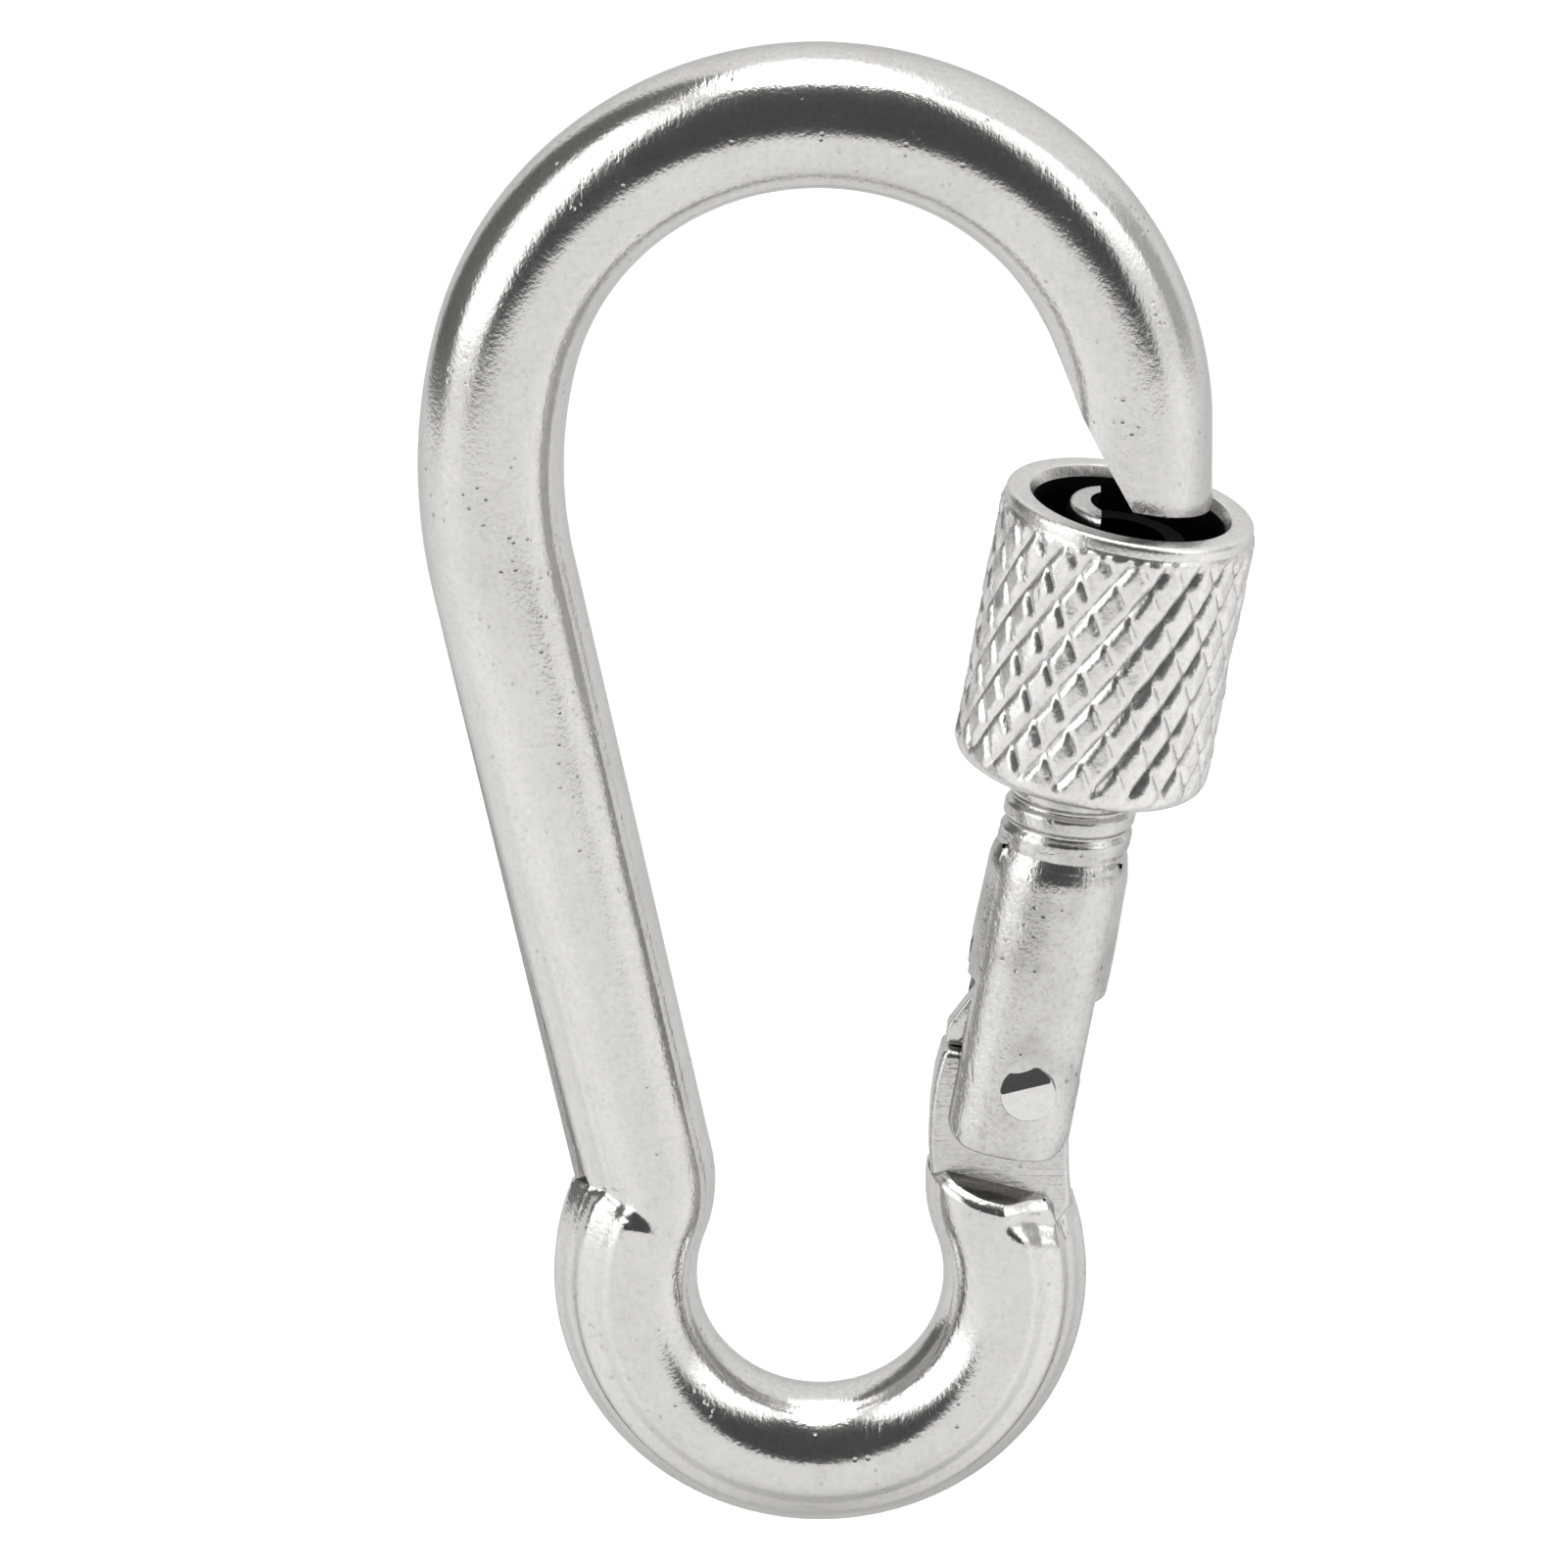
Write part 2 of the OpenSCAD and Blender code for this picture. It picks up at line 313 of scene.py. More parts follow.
def second_material(piece, material, test):
    """Gives the second material to the faces whose centre, in the gate's frame, passes the test."""
    piece.data.materials.append(material)
    back = GATE.inverted()
    for face in piece.data.polygons:
        centre = (back @ face.center) / MM
        if test(centre, back.to_3x3() @ face.normal):
            face.material_index = 1


def sharp_edges(mesh, degrees):
    """Keeps the mesh smooth except at edges that turn by more than the angle."""
    bm = bmesh.new()
    bm.from_mesh(mesh)
    limit = math.radians(degrees)
    for edge in bm.edges:
        edge.smooth = not (edge.is_manifold and edge.calc_face_angle(0) > limit)
    bm.to_mesh(mesh)
    bm.free()


def corners_of(geometry):
    """The vertices among what an operator has made."""
    return [v for v in geometry if isinstance(v, bmesh.types.BMVert)]


def edges_of(geometry):
    """The edges among what an operator has made."""
    return [e for e in geometry if isinstance(e, bmesh.types.BMEdge)]


def lathe(bm, profile, steps):
    """Turns a line of (radius, height) points once about Z."""
    verts = [bm.verts.new((r * MM, 0, z * MM)) for r, z in profile]
    edges = [bm.edges.new(pair) for pair in zip(verts, verts[1:])]
    bmesh.ops.spin(
        bm,
        geom=verts + edges,
        cent=(0, 0, 0),
        axis=(0, 0, 1),
        angle=TAU,
        steps=steps,
        use_merge=True,
    )
    bmesh.ops.remove_doubles(bm, verts=bm.verts, dist=MERGE)


def corner(x, z, r, a0, a1, steps=5):
    """Points round a corner of a lathe profile, about its centre."""
    return [polar((x, z), r, a0 + (a1 - a0) * i / steps) for i in range(steps + 1)]


def plate(bm, outline, thickness, corner_r=None):
    """A flat plate from an outline. It lies in the hook's plane, centred on it.

    corner_r gives the radius of a corner that is rounded, by its place in the outline.
    """
    verts = [bm.verts.new((x * MM, -thickness / 2 * MM, z * MM)) for x, z in outline]
    face = bm.faces.new(verts)
    for index, radius in (corner_r or {}).items():
        bmesh.ops.bevel(
            bm,
            geom=[verts[index]],
            offset=radius * MM,
            offset_type="OFFSET",
            segments=5,
            profile=0.5,
            affect="VERTICES",
            material=-1,
        )
        face = max(bm.faces, key=lambda f: f.calc_area())
    made = bmesh.ops.extrude_face_region(bm, geom=[face])["geom"]
    bmesh.ops.translate(bm, verts=corners_of(made), vec=(0, thickness * MM, 0))
    bmesh.ops.recalc_face_normals(bm, faces=bm.faces)


def soften(bm, width, segments=2, over=35.0, test=None):
    """Rounds the edges that turn by more than the angle."""
    limit = math.radians(over)
    edges = [
        e
        for e in bm.edges
        if e.is_manifold and e.calc_face_angle(0) > limit and (test is None or test(e))
    ]
    bmesh.ops.bevel(
        bm,
        geom=edges,
        offset=width * MM,
        offset_type="OFFSET",
        segments=segments,
        profile=0.5,
        affect="EDGES",
        clamp_overlap=True,
        material=-1,
    )


def cut_away(target, make):
    """Takes away from the target the solid that make builds."""
    bm = bmesh.new()
    make(bm)
    bmesh.ops.recalc_face_normals(bm, faces=bm.faces)
    mesh = bpy.data.meshes.new("cutter")
    bm.to_mesh(mesh)
    bm.free()
    cutter = bpy.data.objects.new("cutter", mesh)
    bpy.context.scene.collection.objects.link(cutter)
    modifier = target.modifiers.new("cut", "BOOLEAN")
    modifier.operation = "DIFFERENCE"
    modifier.solver = "EXACT"
    modifier.object = cutter
    shape = target.evaluated_get(bpy.context.evaluated_depsgraph_get())
    made = bpy.data.meshes.new_from_object(shape)
    target.modifiers.clear()
    old, target.data = target.data, made
    made.name = target.name
    bpy.data.meshes.remove(old)
    bpy.data.objects.remove(cutter)
    bpy.data.meshes.remove(mesh)


def block(bm, x0, x1, y0, y1, z0, z1):
    """A box between the limits, in millimetres."""
    size = Vector((x1 - x0, y1 - y0, z1 - z0)) * MM
    middle = Vector((x0 + x1, y0 + y1, z0 + z1)) / 2 * MM
    bmesh.ops.create_cube(bm, size=1.0)
    bmesh.ops.scale(bm, verts=bm.verts, vec=size)
    bmesh.ops.translate(bm, verts=bm.verts, vec=middle)


def rod(bm, radius, depth, matrix):
    """A round rod along the matrix's own Z, centred on it, in millimetres."""
    bmesh.ops.create_cone(
        bm,
        cap_ends=True,
        segments=64,
        radius1=radius * MM,
        radius2=radius * MM,
        depth=depth * MM,
        matrix=matrix,
    )


# ---------------------------------------------------------------- settings


class HookSettings(bpy.types.PropertyGroup):
    wire: FloatProperty(
        name="Wire Diameter",
        description="Diameter of the hook's round wire",
        default=5.6 * MM,
        min=5.0 * MM,
        max=6.2 * MM,
        unit="LENGTH",
        precision=5,
    )
    crease: FloatProperty(
        name="Crease Depth",
        description="Depth of the two faint creases along the inside of the wire",
        default=0.035 * MM,
        min=0.0,
        max=0.1 * MM,
        unit="LENGTH",
        precision=6,
    )


class SleeveSettings(bpy.types.PropertyGroup):
    diamonds: IntProperty(
        name="Diamonds Round",
        description="Number of knurled diamonds round the sleeve",
        default=21,
        min=12,
        max=30,
    )
    depth: FloatProperty(
        name="Knurl Depth",
        description="Depth of the deeper family of grooves",
        default=0.22 * MM,
        min=0.1 * MM,
        max=0.6 * MM,
        unit="LENGTH",
        precision=5,
    )


class GateSettings(bpy.types.PropertyGroup):
    pitch: FloatProperty(
        name="Thread Pitch",
        description="Pitch of the thread on the gate",
        default=1.0 * MM,
        min=0.6 * MM,
        max=1.5 * MM,
        unit="LENGTH",
        precision=5,
    )
    thread: FloatProperty(
        name="Thread Depth",
        description="Depth of the thread on the gate",
        default=0.18 * MM,
        min=0.1 * MM,
        max=0.4 * MM,
        unit="LENGTH",
        precision=5,
    )


class FinishSettings(bpy.types.PropertyGroup):
    colour: FloatVectorProperty(
        name="Steel Colour",
        description="Colour of the stainless steel",
        default=(0.535, 0.532, 0.525),
        subtype="COLOR",
        min=0.0,
        max=1.0,
    )
    rough: FloatProperty(
        name="Roughness",
        description="Roughness of the polished wire",
        default=0.17,
        min=0.05,
        max=0.6,
        subtype="FACTOR",
    )
    seed: IntProperty(
        name="Seed",
        description="Seed of the small irregularities",
        default=7,
        min=0,
    )


# ---------------------------------------------------------------- hook


def bend(line, way, outside, sign):
    """The small bend that joins a straight to the eye.

    Returns its centre, where it meets the straight and its direction from the eye in degrees.
    """
    eye = Vector(EYE_CENTRE)
    offset = line + outside * KNEE_R - eye
    b = offset.dot(way)
    root = math.sqrt(b * b - offset.dot(offset) + (EYE_R + KNEE_R) ** 2)
    foot = line + way * (-b + sign * root)
    centre = foot + outside * KNEE_R
    towards = centre - eye
    return centre, foot, math.degrees(math.atan2(towards.y, towards.x)) % 360


def wire_profile(bm, settings, inner):
    """Leaves two faint creases and a slightly sunk strip on the wire's inner side."""
    crease_at, crease_width = 33, 3.2
    centre = sum((v.co for v in bm.verts), Vector()) / len(bm.verts)
    for v in bm.verts:
        out = v.co - centre
        turn = math.degrees(out.angle(inner))
        groove = max(0, 1 - abs(turn - crease_at) / crease_width)
        strip = 1 - smooth_step(crease_at - 3, crease_at + 1, turn)
        v.co -= out.normalized() * (settings.crease * (groove + 0.5 * strip))


def sweep(bm, ring, centre, axis, degrees, step=RING_STEP):
    """Carries the open end of the wire round a bend and returns the new end."""
    made = bmesh.ops.spin(
        bm,
        geom=ring,
        cent=flat(*centre),
        axis=axis,
        angle=math.radians(degrees),
        steps=max(1, round(degrees / step)),
    )
    return edges_of(made["geom_last"])


def draw_out(bm, ring, way):
    """Carries the open end of the wire straight on and returns the new end."""
    made = bmesh.ops.extrude_edge_only(bm, edges=ring)["geom"]
    ends = corners_of(made)
    bmesh.ops.translate(bm, verts=ends, vec=way)
    ends = set(ends)
    return [e for e in edges_of(made) if all(v in ends for v in e.verts)]


def round_rim(bm, faces, rim):
    """Raises the faces on a rim, given as steps inwards and upwards in millimetres."""
    outer = {v for face in faces for v in face.verts}
    bmesh.ops.remove_doubles(bm, verts=list(outer), dist=0.06 * MM)
    faces = [face for face in faces if face.is_valid]
    for inwards, upwards in rim:
        bmesh.ops.inset_region(
            bm,
            faces=faces,
            use_boundary=True,
            thickness=inwards * MM,
            depth=upwards * MM,
        )


def slice_off(bm, point, normal):
    """Cuts away what lies beyond a plane and closes the cut."""
    bmesh.ops.bisect_plane(
        bm,
        geom=bm.verts[:] + bm.edges[:] + bm.faces[:],
        dist=1e-8,
        plane_co=point,
        plane_no=normal,
        clear_outer=True,
    )
    near = [
        e
        for e in bm.edges
        if e.is_boundary and all(abs((v.co - point).dot(normal)) < 1e-6 for v in e.verts)
    ]
    bmesh.ops.edgeloop_fill(bm, edges=near)


def hook_wire(settings):
    """The whole bent wire, carried from the nose round the bow, the spine and the eye to the limb."""
    bm = bmesh.new()
    start = flat(BOW_CENTRE[0] + BOW_R, BOW_CENTRE[1] - NOSE_LENGTH)
    bmesh.ops.create_circle(
        bm, segments=120, radius=settings.wire / 2, matrix=Matrix.Translation(start)
    )
    wire_profile(bm, settings, Vector((-1, 0, 0)))
    ring = draw_out(bm, bm.edges[:], flat(0, NOSE_LENGTH))
    ring = sweep(bm, ring, BOW_CENTRE, ANTICLOCKWISE, BOW_END)
    side = polar(BOW_CENTRE, BOW_R - SIDE_R, BOW_END)
    ring = sweep(bm, ring, side, ANTICLOCKWISE, 180 + SPINE_LEAN - BOW_END)

    lean = math.radians(SPINE_LEAN)
    top = Vector(polar(side, SIDE_R, 180 + SPINE_LEAN))
    down = Vector((math.sin(lean), -math.cos(lean)))
    outside = Vector((-math.cos(lean), -math.sin(lean)))
    centre, foot, eye_from = bend(top, down, outside, -1)
    ring = draw_out(bm, ring, flat(*(foot - top)))
    turn = (180 + SPINE_LEAN) - eye_from
    ring = sweep(bm, ring, centre, CLOCKWISE, turn, 1.0)
    press_knee(bm, centre, SPINE_LEAN - turn / 2)

    lean = math.radians(GATE_LEAN)
    limb = Vector(polar(EYE_CENTRE, EYE_R, LIMB_FROM))
    up = Vector((math.sin(lean), math.cos(lean)))
    outside = Vector((math.cos(lean), -math.sin(lean)))
    centre, foot, eye_to = bend(limb, up, outside, 1)
    ring = sweep(bm, ring, EYE_CENTRE, ANTICLOCKWISE, (eye_to - eye_from) % 360)
    ring = sweep(bm, ring, centre, CLOCKWISE, eye_to + GATE_LEAN)
    draw_out(bm, ring, flat(*(up * 3)))
    press_bow(bm, settings)
    press_limb(bm)
    return bm


def press_knee(bm, centre, lean):
    """Sinks the foot of the spine on its outer side, so that the eye's wire stands proud of it."""
    deepest, ripple = 0.80, 0.05
    middle = math.radians(lean)
    along = Vector((-math.sin(middle), 0, math.cos(middle)))
    out = Vector((-math.cos(middle), 0, -math.sin(middle)))
    hub = flat(*centre)
    core = hub - out * KNEE_R * MM
    for v in bm.verts:
        s = (v.co - hub).dot(along) / MM
        if not -2 < s < 4 or (v.co - core).length > 6 * MM:
            continue
        radial = v.co - core
        radial -= along * radial.dot(along)
        turn = math.degrees(radial.angle(out))
        share = 1 - smooth_step(52, 112, turn)
        s += 0.35 * noise.noise(v.co * 900) + 0.010 * (turn - 40)
        depth = deepest * share * smooth_step(-0.75, 0.25, s) * (1 - smooth_step(0.5, 2.7, s))
        depth += ripple * share * noise.noise(v.co * 2600)
        v.co -= radial.normalized() * depth * MM


def press_limb(bm):
    """A short dent on each face of the limb, at its outer side and just under the step."""
    deepest, middle, half_width, height = 0.42, 1.9, 1.5, -5.75
    back = GATE.inverted()
    for v in bm.verts:
        x, y, z = (back @ v.co) / MM
        if not (-7.2 < z < -4.6 and x > 0.2 and abs(x) < 4.5):
            continue
        across = (x - middle) / half_width
        ridge = z - height + 0.16 * (x - middle) + 0.2 * noise.noise(v.co * 1100)
        share = max(0, 1 - across * across) * smooth_step(0.6, 1.4, abs(y))
        depth = deepest * share * smooth_step(-0.42, 0.18, ridge) * (1 - smooth_step(0.3, 1.0, ridge))
        v.co.y -= math.copysign(depth * MM, y)


def press_bow(bm, settings):
    """Leaves a faint crease along both edges of the bow's outer side, near the nose."""
    crease_at, crease_width = 37.5, 3.2
    hub = flat(*BOW_CENTRE)
    for v in bm.verts:
        rel = v.co - hub
        angle = math.degrees(math.atan2(rel.z, rel.x))
        if not 2 < angle < 100 or rel.length < 8 * MM:
            continue
        out = Vector((rel.x, 0, rel.z)).normalized()
        radial = v.co - (hub + out * BOW_R * MM)
        turn = math.degrees(radial.angle(out))
        fade = smooth_step(2, 12, angle) * (1 - smooth_step(70, 96, angle))
        groove = max(0, 1 - abs(turn - crease_at) / crease_width)
        strip = 1 - smooth_step(crease_at - 3.5, crease_at + 0.5, turn)
        v.co -= radial.normalized() * settings.crease * (0.8 * groove + 0.7 * strip) * fade


def nose_side(cutter):
    """What is cut from the inner side of the nose."""
    outline = [
        (7.4, -5.4),
        (8.65, -5.4),
        (8.95, -6.1),
        (10.05, -8.7),
        (12.8, -13.7),
        (12.8, -30),
        (3, -30),
        (3, -16),
    ]
    plate(cutter, outline, 8)


def nose_end(cutter):
    """What is cut from the end of the nose, a little aslant."""
    slant = math.radians(12.5)
    middle = Vector((13.4, -12.46))
    way = Vector((math.cos(slant), -math.sin(slant)))
    drop = Vector((-math.sin(slant), -math.cos(slant)))
    start, end = middle - way * 5, middle + way * 4
    plate(cutter, [tuple(p) for p in (start, end, end + drop * 9, start + drop * 9)], 8)


def limb_end(side):
    """What is cut from the end of the limb on one face, so that a step falls away from the tongue."""
    height, lean, fall = -4.74, 0.077, math.tan(math.radians(14))

    def make(cutter):
        block(cutter, -4, 4, -4, 4, 0, 6)
        for v in cutter.verts:
            if v.co.z < 3 * MM:
                v.co.z = height * MM - lean * v.co.x + fall * (TONGUE / 2 * MM - side * v.co.y)
        bmesh.ops.transform(cutter, matrix=GATE, verts=cutter.verts)

    return make


def round_ends(wire):
    """Gives the step and the nose's end their rims."""
    bm = bmesh.new()
    bm.from_mesh(wire.data)
    back = GATE.inverted()
    turned = back.to_3x3()
    caps = []
    for face in bm.faces:
        centre = (back @ face.calc_center_median()) / MM
        if (turned @ face.normal).z > 0.9 and -6 < centre.z < -3.8 and abs(centre.x) < 3:
            caps.append(face)
    round_rim(bm, caps, [(0.03, 0.07), (0.16, 0.12), (0.16, 0.11), (0.08, 0.03)])

    tips = []
    for face in bm.faces:
        centre = face.calc_center_median() / MM
        if face.normal.z < -0.9 and centre.x > 10 and -13.5 < centre.z < -12:
            tips.append(face)
    round_rim(bm, tips, [(0.01, 0.05), (0.03, 0.05), (0.05, 0.03), (0.05, 0.01)])
    rebuild(wire, bm)


def make_tongue(finish):
    """The flat tongue between the fork's cheeks, with a blunt heel and the hinge hole."""
    heel = [(-3.02, 0.56), (-3.12, -0.7), (-3.06, -2.0), (-2.86, -3.4), (-2.55, -4.6)]
    root = [(-1.9, -6.2), (2.38, -6.2)]
    shoulder = [(2.95, -4.75), (2.65, -3.6), (2.38, -2.2), (2.38, 0.2)]
    top = [(1.6, 1.6), (0.36, 1.95), (-0.8, 1.5), (-1.3, 0.56)]
    bm = bmesh.new()
    plate(bm, heel + root + shoulder + top, TONGUE, {0: 0.3})
    soften(bm, 0.28, 4, 60)
    bmesh.ops.transform(bm, matrix=GATE, verts=bm.verts)
    colour = scaled(finish.colour, 0.93)
    milled = steel("tongue steel", colour, finish.rough + 0.08, grain=1.4, brushed=1.0)
    tongue = finish_mesh(bm, "tongue", milled)
    cut_away(tongue, lambda c: rod(c, PIN_HOLE_R, 4, ALONG_PIN))
    return tongue


def build_hook(settings, finish):
    """The bent wire and the tongue."""
    bm = hook_wire(settings)
    bmesh.ops.holes_fill(bm, edges=[e for e in bm.edges if e.is_boundary])
    wire = finish_mesh(bm, "hook_wire", steel("hook steel", finish.colour, finish.rough))
    for make in (nose_side, nose_end, limb_end(1), limb_end(-1)):
        cut_away(wire, make)
    round_ends(wire)
    tongue = make_tongue(finish)
    for piece in (wire, tongue):
        sharp_edges(piece.data, 32)
        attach(piece, "hook")
        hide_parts("hook_body")


# ---------------------------------------------------------------- gate


def thread_shape(z, degrees, pitch, depth):
    """How far the thread's groove is sunk at a place on the gate."""
    half_width = 0.3
    along = (z / pitch - degrees / 360) % 1.0
    groove = 1 - min(1, abs(along - 0.5) / half_width)
    fade = smooth_step(THREAD_FROM, 10.6, z) * (1 - smooth_step(16.0, THREAD_TO, z))
    return depth * fade * smooth_step(0, 1, groove)


def barrel_r(z):
    """Radius of the gate's barrel, faintly swollen at the middle and narrower towards the thread."""
    swell = 0.06 * math.sin(math.pi * smooth_step(2.0, 8.2, z))
    return 2.70 + swell - 0.19 * smooth_step(8.2, 9.5, z)


def cheek(bm, side):
    """One face plate of the fork: it runs down from the barrel and ends in rounded corners."""
    radius, rim, least = 0.95, 0.14, 0.16
    outline = [(-2.36, CHEEK_TOP)]
    outline += corner(-1.41, -1.88, radius, 180, 270, 6)
    outline += corner(1.35, -1.88, radius, 270, 360, 6)
    outline += [(2.3, CHEEK_TOP)]
    plate(bm, outline, 1.0)
    soften(bm, rim, 4, 57, lambda e: all(v.co.y < 0 for v in e.verts))
    cuts = [(-2.1 + 0.2 * i, (1, 0, 0)) for i in range(22)]
    cuts += [(z, (0, 0, 1)) for z in (-1.9, 3.0, 4.0, 5.0, 6.0, 7.0, 7.6, 8.0, 8.4, 8.8, 9.1)]
    for place, normal in cuts:
        bmesh.ops.bisect_plane(
            bm,
            geom=bm.verts[:] + bm.edges[:] + bm.faces[:],
            dist=1e-7,
            plane_co=Vector(normal) * place * MM,
            plane_no=normal,
        )

    # the outer side follows the barrel and the inner side is flat
    for v in bm.verts:
        x, y, z = v.co / MM
        top = barrel_r(z) + 0.03 - 0.12 * smooth_step(8.8, CHEEK_TOP, z)
        surface = math.sqrt(max(top * top - x * x, 0.1)) - min(0.5 + y, least)
        v.co.y = -side * (max(SLOT, surface) if y < 0 else SLOT) * MM
    return bm


def tube_profile():
    """The gate's outline as (radius, height), from the fork up to the end that holds the nose."""
    low, rows, end_r, end_z = 3.7, 200, 2.35, 23.15
    profile = [(0, 3.25), (2.32, 3.25), (2.68, 3.62)]
    profile += [(2.7, low + (TUBE_TO - low) * i / rows) for i in range(rows + 1)]
    profile += [(end_r, 16.6), (end_r, 22.6)]
    profile += corner(end_r - 0.3, end_z - 0.3, 0.3, 0, 90, 4)
    return profile + [(0, end_z)]


def shape_barrel(bm, settings):
    """Gives the barrel its swell and its thread."""
    for v in bm.verts:
        z = v.co.z / MM
        radius = math.hypot(v.co.x, v.co.y) / MM
        if 3.66 < z < TUBE_TO + 0.05 and radius > 1:
            turn = math.degrees(math.atan2(v.co.y, v.co.x))
            new = barrel_r(z) - 0.2 * smooth_step(16.0, TUBE_TO, z)
            new -= thread_shape(z, turn, settings.pitch / MM, settings.thread / MM)
            v.co.x *= new / radius
            v.co.y *= new / radius


def make_tube(settings, metal, dark):
    """The gate's barrel and threaded end, hollow for the plunger and open for the nose."""
    bm = bmesh.new()
    lathe(bm, tube_profile(), 96)
    shape_barrel(bm, settings)
    tube = finish_mesh(bm, "gate_tube", metal)
    seat, bore_r, bore_low, bore_high, mouth_r = 22.05, 1.65, -2.0, 20.2, 1.55
    middle = Matrix.Translation((0, 0, (bore_low + bore_high) / 2 * MM))
    mouth = Matrix.Translation((0, 0, 23.6 * MM))
    # the fork's slot, the bore, the plunger's slot, the notch for the nose and the open end
    for make in (
        lambda c: block(c, -4, 4, -SLOT, SLOT, -6, 3.65),
        lambda c: rod(c, bore_r, bore_high - bore_low, middle),
        lambda c: block(c, -5, 0, -0.6, 0.6, 2, 5.1),
        lambda c: block(c, -1.15, 5, -5, 5, seat, 26),
        lambda c: rod(c, mouth_r, 4, mouth),
    ):
        cut_away(tube, make)
    bm = bmesh.new()
    bm.from_mesh(tube.data)
    bmesh.ops.transform(bm, matrix=GATE, verts=bm.verts)
    rebuild(tube, bm)

    def hidden(centre, normal):
        on_seat = centre.z > seat - 0.15 and normal.z > 0.9
        return centre.z < seat + 0.25 and (math.hypot(centre.x, centre.y) < 1.8 or on_seat)

    # The faces deep in the bore and on the nose's seat get the painted shade.
    second_material(tube, dark, hidden)
    return tube


def make_rivet(finish):
    """The rivet, with a facet pressed into the top of its front head."""
    half, radius, rim = 3.0, 1.07, 0.09
    head = corner(radius - rim, half - rim, rim, 0, 90, 3)
    tail = [(r, -z) for r, z in reversed(head)]
    bm = bmesh.new()
    lathe(bm, [(0, -half), *tail, *head, (0, half)], 64)
    slice_off(bm, Vector((0, 0.30, half)) * MM, Vector((-0.10, 0.40, 0.92)).normalized())
    bmesh.ops.transform(bm, matrix=ALONG_PIN, verts=bm.verts)
    metal = steel("pin steel", scaled(finish.colour, 1.08), finish.rough)
    return finish_mesh(bm, "rivet", metal)


def build_gate(settings, finish):
    """The gate, its two cheeks and the rivet."""
    # Painted shade: the gate's steel is a little darker than the wire's, for the shade under the
    # sleeve. Its rougher, pitted and mottled finish is its own.
    colour = scaled(finish.colour, 0.95)
    metal = steel("gate steel", colour, finish.rough + 0.06, grain=1.7, pits=2.2, dirt=0.35)
    tube = make_tube(settings, metal, painted_shade_steel("gate inside painted shade", finish.colour))
    sharp_edges(tube.data, 40)
    pieces = [tube]
    for side, name in ((1, "front_cheek"), (-1, "back_cheek")):
        bm = cheek(bmesh.new(), side)
        bmesh.ops.transform(bm, matrix=GATE, verts=bm.verts)
        pieces.append(finish_mesh(bm, name, metal))
        sharp_edges(pieces[-1].data, 50)
    for piece in pieces:
        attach(piece, "gate_arm")
        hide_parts("gate")

    rivet = make_rivet(finish)
    sharp_edges(rivet.data, 20)
    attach(rivet, "gate_arm")
    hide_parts("hinge_pin")


# ---------------------------------------------------------------- plunger and spring


def make_blade(metal):
    """The blade that shows beside the fork and presses on the tongue's heel."""
    foot = [(-2.95, 0.62), (-1.6, 0.62), (-1.6, 2.2), (0, 2.2)]
    back = [(0, 3.5), (-1.6, 3.12), (-2.3, 2.76), (-3.0, 1.3)]
    bm = bmesh.new()
    plate(bm, foot + back, 1.0)
    soften(bm, 0.09, 3, 25)
    bmesh.ops.transform(bm, matrix=GATE, verts=bm.verts)
    return finish_mesh(bm, "plunger_blade", metal)


def make_head(metal):
    """The round head that slides in the bore, with a spigot for the spring."""
    rim, low, shoulder, tip = 0.15, 2.35, 8.75, 11.35
    profile = [(0, low), *corner(1.45, low + rim, rim, -90, 0, 3)]
    profile += corner(1.45, shoulder - rim, rim, 0, 90, 3)
    profile += [(0.8, shoulder), *corner(0.7, tip - 0.1, 0.1, 0, 90, 3), (0, tip)]
    bm = bmesh.new()
    lathe(bm, profile, 48)
    bmesh.ops.transform(bm, matrix=GATE, verts=bm.verts)
    return finish_mesh(bm, "plunger_head", metal)


def make_spring(finish):
    """A coil carried round and up at once."""
    turns, per_turn, wire, coil = 8, 24, 0.225, 1.225
    low, high = 8.75 + wire, 20.2 - wire
    lay = Matrix.Translation((coil * MM, 0, low * MM)) @ Matrix.Rotation(math.pi / 2, 4, "X")
    bm = bmesh.new()
    bmesh.ops.create_circle(bm, segments=10, radius=wire * MM, matrix=lay)
    bmesh.ops.spin(
        bm,
        geom=bm.verts[:] + bm.edges[:],
        cent=(0, 0, 0),
        axis=(0, 0, 1),
        dvec=(0, 0, (high - low) / (turns * per_turn) * MM),
        angle=TAU * turns,
        steps=turns * per_turn,
    )
    bmesh.ops.holes_fill(bm, edges=[e for e in bm.edges if e.is_boundary])
    bmesh.ops.transform(bm, matrix=GATE, verts=bm.verts)
    return finish_mesh(bm, "coil_spring", steel("spring steel", finish.colour, 0.3))


def build_plunger(finish):
    """The plunger and its spring."""
    metal = steel("plunger steel", finish.colour, finish.rough + 0.04)
    for piece in (make_blade(metal), make_head(metal)):
        sharp_edges(piece.data, 30)
        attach(piece, "plunger")
        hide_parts("spring_plunger")

    spring = make_spring(finish)
    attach(spring, "gate_arm")
    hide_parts("gate_spring")


# ---------------------------------------------------------------- sleeve


